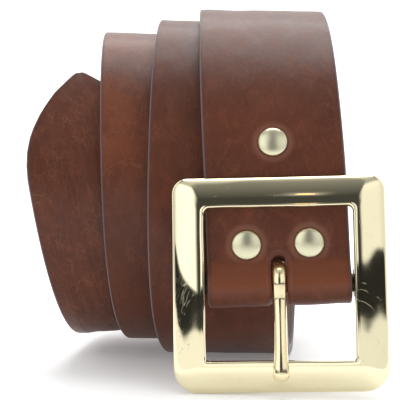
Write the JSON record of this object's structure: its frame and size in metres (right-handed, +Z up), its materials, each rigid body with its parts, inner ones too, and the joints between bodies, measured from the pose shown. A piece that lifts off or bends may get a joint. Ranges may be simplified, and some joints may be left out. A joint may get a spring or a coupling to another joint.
{
  "type": "leather belt",
  "caption": "Wide plain leather belt wound into an open coil standing on its edge turn, with a square centre-bar brass buckle hanging from a riveted fold.",
  "frame": {"origin": "on the table under the middle of the whole belt's box", "axes": "+Z up, -Y toward the viewer who faces the buckle, +X to the viewer's right along the coil's axis"},
  "size_m": [0.1344, 0.1708, 0.1449],
  "materials": {
    "strap_leather": "smooth vegetable-tanned leather, semi-matt, with dark burnished edges",
    "buckle_brass": "polished solid brass with fine handling scratches",
    "prong_brass": "polished solid brass",
    "rivet_brass": "brass-plated pressed caps, satin polish"
  },
  "bodies": {
    "coil": {"strap_coil_1": "strap_leather", "strap_coil_2": "strap_leather", "strap_coil_3": "strap_leather", "strap_coil_4": "strap_leather", "strap_coil_5": "strap_leather", "strap_coil_6": "strap_leather"},
    "buckle_end": {"strap_buckle_end": "strap_leather", "upper_rivet_front_cap": "rivet_brass", "upper_rivet_front_socket": "rivet_brass", "upper_rivet_rear_post": "rivet_brass", "upper_rivet_rear_cap": "rivet_brass", "lower_left_rivet_front_cap": "rivet_brass", "lower_left_rivet_front_socket": "rivet_brass", "lower_left_rivet_rear_post": "rivet_brass", "lower_left_rivet_rear_cap": "rivet_brass", "lower_right_rivet_front_cap": "rivet_brass", "lower_right_rivet_front_socket": "rivet_brass", "lower_right_rivet_rear_post": "rivet_brass", "lower_right_rivet_rear_cap": "rivet_brass"},
    "frame": {"buckle_frame": "buckle_brass"},
    "tongue": {"prong": "prong_brass"}
  },
  "joints": [
    {"name": "strap_flex", "type": "hinge", "parent": "coil", "child": "buckle_end", "pos_m": [0.02572, -0.05799, 0.10003], "axis": [-0.9986, -0.0117, -0.0508], "range_deg": [0, 60]},
    {"name": "frame_pivot", "type": "hinge", "parent": "buckle_end", "child": "frame", "pos_m": [0.02897, -0.06752, 0.03772], "axis": [0.9992, -0.031, 0.0271], "range_deg": [0, 50]},
    {"name": "prong_pivot", "type": "hinge", "parent": "frame", "child": "tongue", "pos_m": [0.02897, -0.06752, 0.03772], "axis": [-0.9992, 0.031, -0.0271], "range_deg": [0, 105]}
  ]
}
